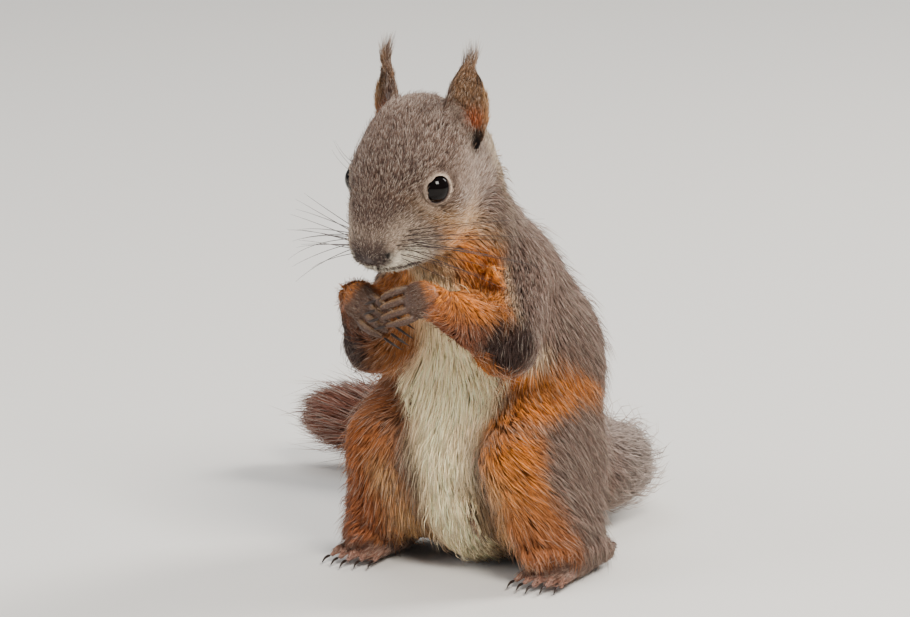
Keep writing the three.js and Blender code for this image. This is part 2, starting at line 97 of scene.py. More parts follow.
class Finish:
    """One material, and the nodes that are added to it."""

    def __init__(self, name):
        self.material = bpy.data.materials.new(name)
        self.material.use_nodes = True
        self.tree = self.material.node_tree
        self.shader = self.tree.nodes["Principled BSDF"]

    def node(self, kind, settings=None, sockets=(), output=0):
        made = self.tree.nodes.new(kind)
        for key, value in (settings or {}).items():
            setattr(made, key, value)
        pairs = sockets.items() if isinstance(sockets, dict) else enumerate(sockets)
        for key, value in pairs:
            self.feed(made.inputs[key], value)
        return Value(self, made.outputs[output])

    def feed(self, socket, value):
        if isinstance(value, Value):
            self.tree.links.new(value.socket, socket)
        else:
            socket.default_value = value

    def set(self, **sockets):
        """Feeds the shader's own sockets, named with underscores."""
        for name, value in sockets.items():
            self.feed(self.shader.inputs[name.replace("_", " ")], value)

    def attribute(self, name, output):
        return self.node("ShaderNodeAttribute", {"attribute_name": name}, output=output)

    def noise(self, size, detail, roughness):
        place = self.node("ShaderNodeTexCoord", output="Object")
        sockets = {"Vector": place, "Scale": 1 / size, "Detail": detail, "Roughness": roughness}
        return self.node("ShaderNodeTexNoise", {}, sockets)

    def mix(self, share, first, second, blend):
        settings = {"data_type": "RGBA", "blend_type": blend}
        return self.node("ShaderNodeMix", settings, {0: share, 6: first, 7: second}, output=2)

    def bump(self, height, distance, strength):
        sockets = {"Height": height, "Distance": distance, "Strength": strength}
        return self.node("ShaderNodeBump", {}, sockets)


def colour(red, green, blue):
    """A colour given as it looks on screen, from 0 to 255, as linear light, opaque."""
    return (*((np.array((red, green, blue)) / 255) ** 2.2), 1.0)


# ---------------------------------------------------------------- floor and light
# A plain pale studio floor that runs far back, and four soft lamps: a key from the right, a fill, a rim
# light behind and a broad one above.

bpy.ops.mesh.primitive_plane_add(size=60, location=(0, 0, -0.0002))
floor = bpy.context.object
floor.name = "floor"
paper = Finish("studio_floor")
paper.set(Base_Color=colour(214, 211, 206), Roughness=0.85)
floor.data.materials.append(paper.material)

# Each lamp: its place and size in metres, its watts and its light's colour.
LAMPS = {
    "key": ((1.1, -0.9, 1.35), 0.6, 50, (1.0, 0.95, 0.87)),
    "fill": ((-1.2, -1.4, 0.7), 1.3, 21, (0.96, 0.97, 1.0)),
    "rim": ((0.9, 1.2, 1.2), 0.6, 42, (1.0, 0.97, 0.92)),
    "top": ((-0.4, 0.2, 1.8), 1.4, 16, (1.0, 1.0, 1.0)),
}
for name, (place, size, watts, light) in LAMPS.items():
    bpy.ops.object.light_add(type="AREA", location=place)
    lamp = bpy.context.object
    lamp.name = f"lamp_{name}"
    lamp.data.size = size
    lamp.data.energy = watts
    lamp.data.color = light
    lamp.rotation_euler = (Vector((0, 0, 0.08)) - lamp.location).to_track_quat("-Z", "Y").to_euler()
world = bpy.data.worlds.new("studio")
world.use_nodes = True
world.node_tree.nodes["Background"].inputs["Color"].default_value = (0.92, 0.95, 1.0, 1)
world.node_tree.nodes["Background"].inputs["Strength"].default_value = 0.36
bpy.context.scene.world = world


# ---------------------------------------------------------------- skin: its shape
# One skin covers the animal from nose to tail tip: flesh, cast as one closed shell. It lies under the
# outline by the depth of the coat: under a millimetre on the muzzle, five on the flanks, and it thins to a
# slim core in the brush of the tail. Lids, nostrils and mouth are pressed into it.

SIDES = {"left": 1, "right": -1}
# Each part: how deep its flesh lies under the outline, in millimetres, and how much it is evened out.
UNDER_COAT = {
    "trunk": (4.8, 1),
    "neck": (3.6, 1),
    "head": (1.8, 0.22),
    "ear": (0.45, 0.1),
    "upper_arm": (3.2, 0.5),
    "forearm": (2.0, 0.35),
    "hand": (0.35, 0.03),
    "leg": (4.4, 0.8),
    "foot": (0.8, 0.05),
    "tail": (4.8, 1),
}
PARTS = tuple(UNDER_COAT)
PAIRED = ("leg", "foot", "upper_arm", "forearm", "hand", "ear")
FLESH = [
    *("head", "neck", "trunk", "tail_base", "tail_middle", "tail_end"),
    *(f"{part}_{side}" for part in PAIRED for side in SIDES),
]
HEAD_CENTRE = np.array((0, -57, 143.8))
HEAD_PITCH, HEAD_YAW = 42, -2  # degrees
EYE_CENTRE = np.array((13.7, -13.8, 0.4))  # in the head's own frame: left, back and up from its middle
EYE_AXIS = np.array((0.84, -0.46, 0.27)) / np.linalg.norm((0.84, -0.46, 0.27))
EYE_RADIUS = 5.2
TAIL_ROUTE = (
    (2, 22, 22),
    (8, 44, 19.5),
    (5.5, 64, 18.3),
    (-16, 76, 16.5),
    (-46, 82, 16.5),
    (-80, 84, 16.5),
    (-106, 81, 17.5),
    (-126, 77, 18.5),
)
TAIL_STEPS = 10  # along each stretch of the route
TAIL_CORE = (6.0, 2.2)  # the radius of the flesh in the tail, at its root and at its tip
VOXEL = 0.6  # the size of the cells that the skin is cast in
SKIN_SHARE = 0.3  # of its faces are kept where the body is plain
HANDS = {  # the middle of the palm, the way the fingers point, and a place inside the forearm
    "left": ((11.3, -73, 99.5), (-0.74, -0.61, -0.29), (18, -61, 93)),
    "right": ((-11.6, -73, 96.8), (0.83, -0.16, -0.54), (-17, -61, 91.5)),
}

turn = Matrix.Rotation(math.radians(HEAD_YAW), 3, "Z") @ Matrix.Rotation(math.radians(HEAD_PITCH), 3, "X")
HEAD_AXES = np.array(turn)  # its columns are the head's left, back and up


def in_head(points):
    """Millimetres in the head's own frame, for points in millimetres in the body's."""
    return (points - HEAD_CENTRE) @ HEAD_AXES


def from_head(points):
    """The way back from the head's own frame."""
    return np.asarray(points, float) @ HEAD_AXES.T + HEAD_CENTRE


def smooth(low, high, values):
    """0 at low and 1 at high, with a soft step between them."""
    share = np.clip((values - low) / (high - low), 0, 1)
    return share * share * (3 - 2 * share)


def bell(values, width):
    """1 where values are 0, and softly down to 0 at about twice a width either way."""
    return np.exp(-((values / width) ** 2))


def blob(points, middle, size):
    """1 at a place, and softly down to 0 at about twice a size away; the size may differ by axis."""
    return np.exp(-(((points - middle) / size) ** 2).sum(axis=1))


def unit(vectors):
    """The same directions, each of length 1."""
    return vectors / np.maximum(np.linalg.norm(vectors, axis=-1, keepdims=True), 1e-9)


def flipped(side):
    """What turns points over to the other half where their side is -1, and leaves them where it is 1."""
    return side * (1, 0, 0) + (0, 1, 1)


def part_of(node):
    """The kind of part a node is: its name without its side or its length of tail."""
    return "tail" if node.startswith("tail") else node.removesuffix("_left").removesuffix("_right")


def select(*pieces):
    """Selects some pieces alone, the first of them active."""
    bpy.ops.object.select_all(action="DESELECT")
    for piece in pieces:
        piece.select_set(True)
    bpy.context.view_layer.objects.active = pieces[0]


def placed(name, mesh):
    """A piece of a mesh, put in the scene."""
    piece = bpy.data.objects.new(name, mesh)
    bpy.context.collection.objects.link(piece)
    return piece


def modified(piece, kind, **settings):
    """Adds a modifier to a piece and applies it."""
    select(piece)
    modifier = piece.modifiers.new(kind, kind)
    for key, value in settings.items():
        setattr(modifier, key, value)
    bpy.ops.object.modifier_apply(modifier=modifier.name)


def merged(name, names, swelling=0.0):
    """One mesh of copies of some nodes, their corners merged, each swollen a little."""
    joined = bmesh.new()
    for node in names:
        one = bmesh.new()
        one.from_mesh(nodes[node].data)
        bmesh.ops.remove_doubles(one, verts=one.verts, dist=1e-6)
        one.normal_update()
        for vertex in one.verts:
            vertex.co += vertex.normal * swelling * MM
        mesh = bpy.data.meshes.new("copy")
        one.to_mesh(mesh)
        joined.from_mesh(mesh)
        bpy.data.meshes.remove(mesh)
        one.free()
    mesh = bpy.data.meshes.new(name)
    joined.to_mesh(mesh)
    joined.free()
    return placed(name, mesh)


class Shell:
    """The points of a mesh in millimetres, with what moving them needs."""

    def __init__(self, piece):
        self.mesh = piece.data
        self.mesh.calc_loop_triangles()
        self.points = self.read("vertices", "co", 3) / MM
        self.triangles = self.read("loop_triangles", "vertices", 3, int)
        edges = self.read("edges", "vertices", 2, int)
        both = np.concatenate([edges, edges[:, ::-1]])
        both = both[np.argsort(both[:, 0], kind="stable")]
        self.neighbours = both[:, 1]
        self.starts = np.searchsorted(both[:, 0], np.arange(len(self.points)))
        self.counts = np.diff(np.append(self.starts, len(both)))[:, None]

    def read(self, items, key, width, kind=float):
        """Values of the mesh's own items, in rows of some width."""
        items = getattr(self.mesh, items)
        values = np.empty(len(items) * width, np.float32 if kind is float else np.int32)
        items.foreach_get(key, values)
        return values.reshape(-1, width).astype(kind)

    def spread(self, values, rounds, share=0.5):
        """Values at the points, evened out with their neighbours'."""
        for _ in range(rounds):
            mean = np.add.reduceat(values[self.neighbours], self.starts) / self.counts
            values = values + share * (mean - values)
        return values

    def normals(self):
        """The way out of the skin at each point."""
        a, b, c = (self.points[self.triangles[:, i]] for i in range(3))
        facing = np.cross(b - a, c - a)
        total = np.zeros_like(self.points)
        for i in range(3):
            for axis in range(3):
                total[:, axis] += np.bincount(self.triangles[:, i], facing[:, axis], len(total))
        return unit(total)

    def write(self):
        """Puts the points back in the mesh."""
        self.mesh.vertices.foreach_set("co", (self.points * MM).astype(np.float32).ravel())
        self.mesh.update()


def catmull(points, steps):
    """A smooth line through points."""
    padded = np.vstack([2 * points[0] - points[1], points, 2 * points[-1] - points[-2]])
    line = []
    for i in range(1, len(padded) - 2):
        a, b, c, d = padded[i - 1 : i + 3]
        for t in np.arange(steps) / steps:
            bend = (2 * a - 5 * b + 4 * c - d) * t**2 + (3 * b - a - 3 * c + d) * t**3
            line.append(0.5 * (2 * b + (c - a) * t + bend))
    return np.array([*line, points[-1]])


tail_line = catmull(np.array(TAIL_ROUTE, float), TAIL_STEPS)
tail_tangents = unit(np.gradient(tail_line, axis=0))


def on_tail(points):
    """The index of the nearest place on the middle line of the tail."""
    return np.linalg.norm(points[:, None] - tail_line[None], axis=2).argmin(axis=1)


# What each place on the skin belongs to is read from the nearest solid.
corners, faces, owners = [], [], []
for index, node in enumerate(FLESH):
    mesh = nodes[node].data
    mesh.calc_loop_triangles()
    first = len(corners)
    corners += [tuple(vertex.co / MM) for vertex in mesh.vertices]
    faces += [tuple(first + v for v in triangle.vertices) for triangle in mesh.loop_triangles]
    owners += [index] * len(mesh.loop_triangles)
owners = np.array(owners)
solids = BVHTree.FromPolygons(corners, faces)


def shares(shell, rounds):
    """How much each point of a shell belongs to each kind of part, in the order of PARTS."""
    found = owners[[solids.find_nearest(Vector(point))[2] for point in shell.points]]
    kinds = np.array([PARTS.index(part_of(node)) for node in FLESH])[found]
    return shell.spread(np.eye(len(PARTS))[kinds], rounds)


skin = merged("skin", [node for node in FLESH if part_of(node) != "hand"], swelling=0.25)
modified(skin, "REMESH", mode="VOXEL", voxel_size=VOXEL * MM)
shell = Shell(skin)
share = shares(shell, 14)
evening = skin.vertex_groups.new(name="evening")
# It isn't evened out where the thigh meets the trunk.
crease = 4 * share[:, PARTS.index("leg")] * share[:, PARTS.index("trunk")]
crease = crease * smooth(-12, -24, shell.points[:, 1])
evened = np.array([amount for _, amount in UNDER_COAT.values()], float)
wanted = np.round(share @ evened * (1 - 0.85 * crease), 1)
for level in np.unique(wanted):
    evening.add(np.nonzero(wanted == level)[0].tolist(), float(level), "REPLACE")
modified(skin, "SMOOTH", iterations=80, factor=0.8, vertex_group="evening")
modified(skin, "SMOOTH", iterations=3, factor=0.5)
shell = Shell(skin)
depths = np.array([deep for deep, _ in UNDER_COAT.values()])
depth = shell.spread((share @ depths)[:, None], 20)
local = in_head(shell.points)
muzzle = smooth(-20, -34, local[:, 1]) * share[:, PARTS.index("head")]
depth[:, 0] *= 1 - 0.5 * muzzle
# The forearm thins its coat down to the wrist.
for palm, _, _ in HANDS.values():
    depth[:, 0] *= 1 - 0.75 * bell(np.linalg.norm(shell.points - palm, axis=1), 10)
shell.points = shell.points - shell.spread(shell.normals(), 3) * depth
# The spire of hair on an ear's tip isn't flesh.
EAR_TOP = 171.0
shell.points[:, 2] -= np.maximum(shell.points[:, 2] - EAR_TOP, 0) * 0.9
# Only a slim core runs through the tail.
nearest = on_tail(shell.points)
middle = tail_line[nearest]
core = np.interp(nearest, (0, len(tail_line) - 1), TAIL_CORE)[:, None]
slim = middle + unit(shell.points - middle) * core
in_brush = smooth(0.3, 0.95, shell.spread(share, 20)[:, PARTS.index("tail")])[:, None]
in_brush *= smooth(3, 24, nearest.astype(float))[:, None]
shell.points = shell.points * (1 - in_brush) + slim * in_brush
shell.points = shell.spread(shell.points, 2)
shell.write()
plain = skin.vertex_groups.new(name="plain")
is_plain = share @ np.array([part in ("trunk", "neck", "leg", "tail") for part in PARTS], float)
plain.add(np.nonzero(is_plain > 0.5)[0].tolist(), 1.0, "REPLACE")
modified(skin, "DECIMATE", ratio=SKIN_SHARE, vertex_group="plain", vertex_group_factor=4)

# The hands are finer, for their fingers, and a wrist of each runs up into the forearm.
WRIST = (4.6, 3.4)  # its radius in the forearm and at the palm
HAND_VOXEL = 0.34  # the size of the cells that a hand is cast in
hands = []
for side, (palm, _, forearm) in HANDS.items():
    hand = merged(f"hand_{side}_skin", [f"hand_{side}"])
    way = Vector(palm) - Vector(forearm)
    between = (Vector(palm) + Vector(forearm)) / 2
    place = Matrix.Translation(between * MM) @ way.to_track_quat("Z", "Y").to_matrix().to_4x4()
    wrist = bmesh.new()
    wrist.from_mesh(hand.data)
    ends = {"radius1": WRIST[0] * MM, "radius2": WRIST[1] * MM, "depth": way.length * MM}
    bmesh.ops.create_cone(wrist, cap_ends=True, segments=20, matrix=place, **ends)
    wrist.to_mesh(hand.data)
    wrist.free()
    modified(hand, "REMESH", mode="VOXEL", voxel_size=HAND_VOXEL * MM)
    modified(hand, "SMOOTH", iterations=4, factor=0.6)
    hands.append(hand)
for piece in (skin, *hands):
    mark = piece.data.attributes.new("of_hand", "FLOAT", "POINT")
    mark.data.foreach_set("value", np.full(len(piece.data.vertices), float(piece is not skin), np.float32))
select(skin, *hands)
bpy.ops.object.join()

# The face is finer: its lids, nostrils and lips need it.
fine = bmesh.new()
fine.from_mesh(skin.data)
place = in_head(np.array([vertex.co / MM for vertex in fine.verts]))
eye_gap = np.linalg.norm(place * flipped(np.sign(place[:, :1])) - EYE_CENTRE, axis=1)
face_points = (eye_gap < 9) | ((place[:, 1] < -25) & (place[:, 2] > -20) & (abs(place[:, 0]) < 12))
fine.verts.ensure_lookup_table()
chosen = [e for e in fine.edges if face_points[e.verts[0].index] and face_points[e.verts[1].index]]
bmesh.ops.subdivide_edges(fine, edges=chosen, cuts=1, use_grid_fill=True)
bmesh.ops.triangulate(fine, faces=fine.faces[:])
fine.to_mesh(skin.data)
fine.free()

shell = Shell(skin)
local = in_head(shell.points)
is_face = (local[:, 1] < 0) & (np.linalg.norm(local, axis=1) < 60)
mirror = flipped(np.where(local[:, :1] < 0, -1, 1))
half = local * mirror  # both sides of the face, laid on the left one

# The lids: inside the opening the skin lies in the ball, round it stands a rim. Both lines are degrees
# off the eye's axis, every 30 round from its front corner: where the lids end, and where the socket does.
LIDS = (55, 47, 34, 28, 29, 37, 48, 48, 45, 46, 49, 53)
SOCKET = (31, 34, 41, 50, 59, 66, 65, 58, 50, 41, 34, 31)
LID = 0.5  # how far a lid stands off the ball
EYE_CORNER = np.array((0, -0.95, -0.31))
EYE_CORNER = unit(EYE_CORNER - EYE_AXIS * (EYE_CORNER @ EYE_AXIS))


def around_eye(line, flat):
    """A smooth line through values round the eye, in the direction of flat."""
    spin = np.arctan2(flat @ np.cross(EYE_AXIS, EYE_CORNER), flat @ EYE_CORNER)
    waves = np.fft.rfft(line) / len(line)
    return waves[0].real + 2 * sum((waves[k] * np.exp(1j * k * spin)).real for k in range(1, 5))


def from_eye(half):
    """How far points are from the left eye's middle, their way off its axis, and degrees past the lids."""
    arm = half - EYE_CENTRE
    reach = np.linalg.norm(arm, axis=1)
    flat = unit(arm - EYE_AXIS * (arm @ EYE_AXIS)[:, None])
    angle = np.degrees(np.arccos(np.clip(arm @ EYE_AXIS / np.maximum(reach, 1e-6), -1, 1)))
    return reach, flat, angle - around_eye(LIDS, flat)


# The edge of the socket is drawn in to where the lids meet the ball.
reach, flat, past = from_eye(half)
angle = past + around_eye(LIDS, flat)
edge = around_eye(SOCKET, flat)
short = np.maximum(edge - (angle - past - 6), 0) * smooth(12, 8, reach) * is_face
drawn = np.radians(angle - short * smooth(105, edge, angle))[:, None]
half = EYE_CENTRE + reach[:, None] * (np.cos(drawn) * EYE_AXIS + np.sin(drawn) * flat)
reach, _, past = from_eye(half)
lid = np.interp(past, (-6, -1, 3, 12, 26), (-0.9, -0.35, LID, LID * 1.3, 0.2))
near = (1 - smooth(22, 48, past)) * (1 - smooth(10, 14, reach)) * is_face
half = half + unit(half - EYE_CENTRE) * ((EYE_RADIUS + lid - reach) * near)[:, None]

# The nose: a soft pad, a comma of a nostril on each side, and a groove down to the lip.
NOSTRIL = np.array((5.3, -38.6, -4.3))
NOSTRIL_SIZE = np.array((1.1, 1.4, 1.0))
inwards = -shell.normals() @ HEAD_AXES * mirror
pit = blob(half, NOSTRIL, NOSTRIL_SIZE)
comma = blob(half - NOSTRIL, (1.1, 0.8, 0.5), (1.0, 0.9, 0.55))
groove = bell(half[:, 0], 0.6) * smooth(-33, -35.5, half[:, 1]) * smooth(-5.2, -7, half[:, 2])
# A fold parts the nose from the lip.
fold = bell(half[:, 2] + 7.4 - 0.3 * half[:, 0], 0.7)
fold *= smooth(-35, -37.5, half[:, 1]) * (half[:, 0] < 6)


def mouth(points):
    """How far points in the head's frame stand over the line of the mouth, which runs back and down."""
    return points[:, 2] - (-10.4 - 0.78 * (points[:, 1] + 38.5))


lip = bell(mouth(half), 0.8) * smooth(-28.5, -31.5, half[:, 1]) * is_face
half = half + inwards * (1.9 * pit + 0.7 * comma + 0.7 * groove + 0.5 * fold + 1.5 * lip)[:, None]
moved = is_face[:, None] & (abs(local[:, :1]) > 1e-4)
shell.points = np.where(moved, from_head(half * mirror), shell.points)

# The ears are hollowed where they open, down to the canal.
EAR_ROOT = np.array((12.6, -50, 144))
EAR_RISE = np.array((2.4, 0, 28.5))
EAR_OPENING = unit(np.array((0.743, -0.669, 0)))
EAR_ACROSS = unit(np.cross(EAR_RISE, EAR_OPENING))  # towards its outer edge
EAR_HALF_WIDTH = 7.6
CANAL = np.array((16.6, -48.6, 146.0))


def in_ear(points, normals):
    """How far points are up an ear and across it, how far they face out of it, and them laid on the left."""
    to_left = flipped(np.sign(points[:, :1]))
    sided = points * to_left
    facing = (normals * to_left) @ EAR_OPENING
    rise = (sided[:, 2] - EAR_ROOT[2]) / EAR_RISE[2]
    across = ((sided - EAR_ROOT - EAR_RISE * rise[:, None]) @ EAR_ACROSS) / EAR_HALF_WIDTH
    return rise, across, facing, sided


share = shares(shell, 3)
rise, across, facing, sided = in_ear(shell.points, shell.normals())
hollow = share[:, PARTS.index("ear")] * smooth(0.1, 0.6, facing) * np.clip(1 - (across / 0.85) ** 2, 0, 1)
hollow *= smooth(1.0, 0.7, rise)
slit = blob(sided, CANAL, (2.2, 2.6, 4.2)) * smooth(-0.2, 0.3, facing)
rim = share[:, PARTS.index("ear")] * smooth(0.72, 0.95, abs(across))
rim = rim * smooth(-0.4, 0.4, facing) * smooth(1.0, 0.8, rise)
shift = EAR_OPENING * (0.7 * rim - 1.1 * hollow - 2.4 * slit)[:, None]
shell.points += shift * flipped(np.sign(shell.points[:, :1]))
shell.write()


# ---------------------------------------------------------------- skin: its markings and painted light
# Skin and coat share one set of markings: grey-brown back and crown, rufous limbs and flank stripe, dark
# elbows, cream front, and the face's pale ring, dark nose and light lip. With them lie painted shade, on the
# right limbs, the thigh's crease, the hollow by the eye, the ears' front edges, the nostrils, the ear slits
# and the tail's right-hand end, and painted highlight, on the tops of the fingers and the tail behind the
# body.
# Each is a soft step in a distance, kept on the skin as the colour attribute "marking_and_painted_light".

GREY_BROWN = colour(120, 97, 86)
CROWN = colour(106, 84, 73)
FACE = colour(90, 69, 59)
CHEEK = colour(150, 128, 113)
ORANGE = colour(216, 127, 42)
RUFOUS = colour(146, 82, 46)
DARK = colour(58, 41, 35)
CREAM = colour(250, 228, 186)
TAN = colour(204, 160, 110)
RING = colour(208, 182, 160)
LIP = colour(238, 226, 206)
SNOUT = colour(182, 160, 140)
NOSE = colour(70, 54, 49)
EAR_BACK = colour(92, 68, 52)
EAR_INSIDE = colour(126, 94, 68)
EAR_CANAL = colour(196, 96, 48)
HOLE_SHADE = colour(24, 15, 13)
HAND = colour(88, 63, 50)
PAD = colour(176, 132, 118)
TAIL_GREY_AND_HIGHLIGHT = colour(156, 139, 130)
TAIL_RED_AND_SHADE = colour(112, 68, 52)
ELBOWS = ((33, -53, 87), (-25, -54, 79))
# Where the orange of the thigh's front ends: the height, and how far back it reaches there.
THIGH_EDGE = ((8, 17, 30, 43, 52, 58, 62), (-16, -24.5, -35.5, -42, -37, -26, -12))


def mirrored(points):
    """What lays points on the left half of the head."""
    return flipped(np.where(in_head(points)[:, :1] < 0, -1, 1))


def past_knuckles(points):
    """How far points lie towards the fingers from the middle of the palm of their side."""
    ways = [(points - palm) @ unit(np.array(fingers)) for palm, fingers, _ in HANDS.values()]
    return np.where(points[:, 0] > 0, *ways)


def markings_and_painted_light(points, normals, share):
    """The colour of the coat, at points in millimetres that belong to the parts by some share."""
    x, y, z = points.T
    wide = abs(x)
    tint = np.tile(GREY_BROWN[:3], (len(points), 1))

    def lay(shade, amount):
        """Lays a colour over what is there, as thick as some amount."""
        amount = np.clip(amount, 0, 1)[:, None]
        tint[:] = tint * (1 - amount) + np.asarray(shade[:3]) * amount

    trunk, neck, head, ear, upper_arm, forearm, hand, leg, foot, tail = share.T
    body = trunk + neck
    arms = upper_arm + forearm
    # The trunk: a rufous border round a cream front. The top of the right thigh is a little tan.
    lay(RUFOUS, body * smooth(0.1, 0.5, -normals[:, 1]) * (1 - smooth(22, 30, wide)) * 0.6)
    chest = body * smooth(0.25, 0.6, -normals[:, 1]) * (1 - smooth(14, 22, wide))
    lay(CREAM, chest * (1 - smooth(98, 106, z)))
    lay(TAN, leg * (x < 0) * smooth(52, 62, z) * 0.3)
    lay(CREAM, body * (1 - smooth(2, 9, z)) * (1 - smooth(-24, -12, y)) * 0.7)
    # The flank over the thigh: cream, with an orange stripe under it.
    over = z + 0.34 * (y + 13)
    flank = (body + leg) * smooth(68, 72, over) * smooth(83, 77, over)
    lay(CREAM, flank * smooth(-16, -28, y) * 0.85)
    stripe = bell(over - 66.5, 3.9) * smooth(14, -14, y) * smooth(15, 22, wide)
    # Legs: orange in front and over the top, rufous low down, tan and cream inside, grey-brown outside.
    ahead = smooth(3.5, -3.5, y - np.interp(z, *THIGH_EDGE)) * leg
    lay(ORANGE, ahead * (0.5 + 0.4 * smooth(20, 46, z)))
    lay(RUFOUS, ahead * (1 - smooth(12, 40, z)) * 0.65)
    # Painted shade: the right leg's front is laid redder and darker than the left's, more where it faces
    # right and near its top.
    lay(RUFOUS, ahead * (x < 0) * 0.8)
    lay(DARK, ahead * (x < 0) * (0.5 + smooth(0.2, 0.8, -normals[:, 0]) + smooth(50, 60, z)) * 0.22)
    lay(TAN, ahead * (1 - smooth(19, 25, wide)) * (1 - smooth(36, 50, z)) * 0.8)
    lay(TAN, leg * smooth(0.5, 0.95, -np.sign(x) * normals[:, 0]) * (1 - smooth(34, 48, z)) * 0.8)
    lay(ORANGE, (body + leg) * stripe * 0.95)
    lay(RUFOUS, foot * 0.35)
    lay(GREY_BROWN, foot * smooth(-36, -22, y) * 0.9)
    lay(PAD, foot * smooth(-33, -43, y) * 0.75)
    # Arms: orange in front, grey-brown behind with a pale edge between, rufous below, dark elbows.
    edge = wide - 26.5 + 0.5 * (y + 45) + 0.3 * (z - 96)
    front = smooth(3, -3, edge)
    lay(ORANGE, upper_arm * front * 0.9)
    knuckles = past_knuckles(points)
    forearm = forearm + hand * smooth(0, -5, knuckles)
    lay(RUFOUS, forearm * 0.75)
    lay(ORANGE, forearm * smooth(0.0, 0.75, normals[:, 2]) * (0.4 + 0.45 * front))
    lay(ORANGE, forearm * smooth(0.2, 0.9, -normals[:, 1]) * smooth(90, 98, z) * 0.5)
    lay(DARK, forearm * smooth(94, 84, z) * smooth(20, 27, wide) * 0.5)
    lay(CREAM, arms * bell(edge - 1.5, 1.5) * smooth(84, 90, z) * smooth(110, 103, z) * 0.35)
    # Painted shade: the right arm is darkened all over.
    lay(DARK, arms * (x < 0) * 0.55)
    lay(RUFOUS, arms * smooth(0.45, 0.85, -normals[:, 2]) * 0.85)
    for middle in ELBOWS:
        lay(DARK, (arms + 0.8 * body) * 1.7 * blob(points, middle, (10, 10, 11)))
    lay(HAND, hand * smooth(-6.5, -1, knuckles))
    # Painted highlight: the fingers are lighter where they face up.
    lay(TAN, hand * smooth(2, 6, knuckles) * smooth(0.2, 0.8, normals[:, 2]) * 0.3)
    # The tail: grey-brown behind the body, lightened there in part as a painted highlight, and dark red-brown
    # on the part that runs to the right, darkened there in part as painted shade.
    lay(TAIL_GREY_AND_HIGHLIGHT, tail * smooth(30, 48, y))
    lay(TAIL_RED_AND_SHADE, tail * (1 - smooth(-92, -12, x)))
    # The head: speckled crown, pale snout and lip, dark nose and mouth.
    half = in_head(points) * mirrored(points)
    side, hy, hz = half.T
    lay(CROWN, head)
    lay(FACE, head * smooth(-4, -18, hy) * smooth(15, 8, side) * smooth(-40, -33, hy) * 0.9)
    lay(CHEEK, head * smooth(-18, -8, hy) * smooth(5, -4, hz) * smooth(13, 17, side) * 0.7)
    # A dark patch in front of and below the eye: partly the face's dark band, partly painted shade in the
    # hollow between muzzle and cheek.
    lay(DARK, head * blob(half, (14.0, -23.5, -2.0), (7, 3.6, 4.5)) * 0.5)
    lay(TAN, head * smooth(-8, -16, hz) * smooth(-34, -26, hy) * smooth(0, -14, hy) * 0.35)
    # Cheek, throat and the side of the neck: tan, then orange lower down.
    under = z + 0.25 * (y + 45)
    warm = (head * smooth(-28, -20, hy) + body + 0.4 * upper_arm) * smooth(-26, -30, y)
    warm = warm * smooth(4.5, -2.5, edge)
    lay(TAN, warm * smooth(126, 117, under) * smooth(90, 98, z) * 0.55)
    below = warm * smooth(119, 112, under) * smooth(5, 11, wide)
    lay(ORANGE, below * (0.9 - 0.4 * head) * smooth(88, 96, z))
    throat = (body + head) * smooth(11, 6, wide) * smooth(-44, -50, y)
    lay(CREAM, throat * smooth(112, 104, z) * smooth(92, 98, z) * 0.65)
    collar = (body + head) * smooth(3, 6, edge) * smooth(13, 8, edge) * smooth(104, 114, z)
    lay(CREAM, collar * smooth(8, 12, wide) * smooth(-20, -34, y) * 0.3)
    lay(SNOUT, head * smooth(-22, -31, hy) * smooth(3.5, 7, side) * (1 - smooth(0, 5, hz)) * 0.8)
    lay(SNOUT, head * blob(half, (3, -37, 1.5), (3.5, 3, 2.5)) * 0.5)
    by_nose = side < 6  # the white of the lip starts lower there
    lip = smooth(-2.6 - 1.6 * by_nose, -6.6 - 0.8 * by_nose, hz + 0.25 * (hy + 38))
    lay(LIP, head * smooth(-27, -33, hy) * lip)
    lay(TAN, head * smooth(-9, -15, hz) * (1 - smooth(6, 11, side)) * smooth(-34, -28, hy) * 0.6)
    bridge = head * smooth(4, -2, hz) * smooth(-34.5, -38, hy) * smooth(6.8, 4.6, side)
    lay(NOSE, bridge * smooth(-8, -6, hz) * 0.75)
    lay(NOSE, head * smooth(0.2, 0.55, blob(half, (0, -42, -4.8), (6.2, 4.8, 2.5))) * 0.95)
    # Painted shade: the nostrils are laid near-black.
    lay(HOLE_SHADE, head * np.minimum(blob(half, NOSTRIL, NOSTRIL_SIZE * 1.2) * 2, 1) * 0.9)
    lay(DARK, head * bell(mouth(half), 1.1) * smooth(-28.5, -31.5, hy))
    reach, _, past = from_eye(half)
    ring = head * smooth(2, 5, past) * (1 - smooth(7, 34, past)) * (1 - smooth(8.5, 10.5, reach))
    lay(RING, ring * (0.6 + 0.4 * smooth(-0.2, 0.5, (half - EYE_CENTRE)[:, 1] / 5 + 0.5)))
    lay(DARK, head * (1 - smooth(1, 4, past)) * (1 - smooth(8, 9, reach)))
    # Ears: dark red-brown behind, warmer inside, with an orange canal over a slit laid near-black as painted
    # shade.
    rise, across, facing, sided = in_ear(points, normals)
    opened = smooth(0.1, 0.6, facing) * smooth(1.0, 0.8, abs(across))
    lay(EAR_BACK, ear)
    lay(EAR_INSIDE, ear * opened * 0.85)
    # The front edge of the ear: darker fur there, deepened with painted shade.
    lay(DARK, ear * smooth(-0.35, -0.85, across) * 0.75)
    lay(DARK, ear * smooth(0.8, 1.0, rise) * 0.5)
    lay(TAN, ear * smooth(0.7, 0.95, across) * 0.45)
    canal = (ear + head * 0.5) * blob(sided, (15.4, -48, 151.4), (3.2, 3.2, 3.6))
    lay(EAR_CANAL, canal * smooth(0, 0.4, facing))
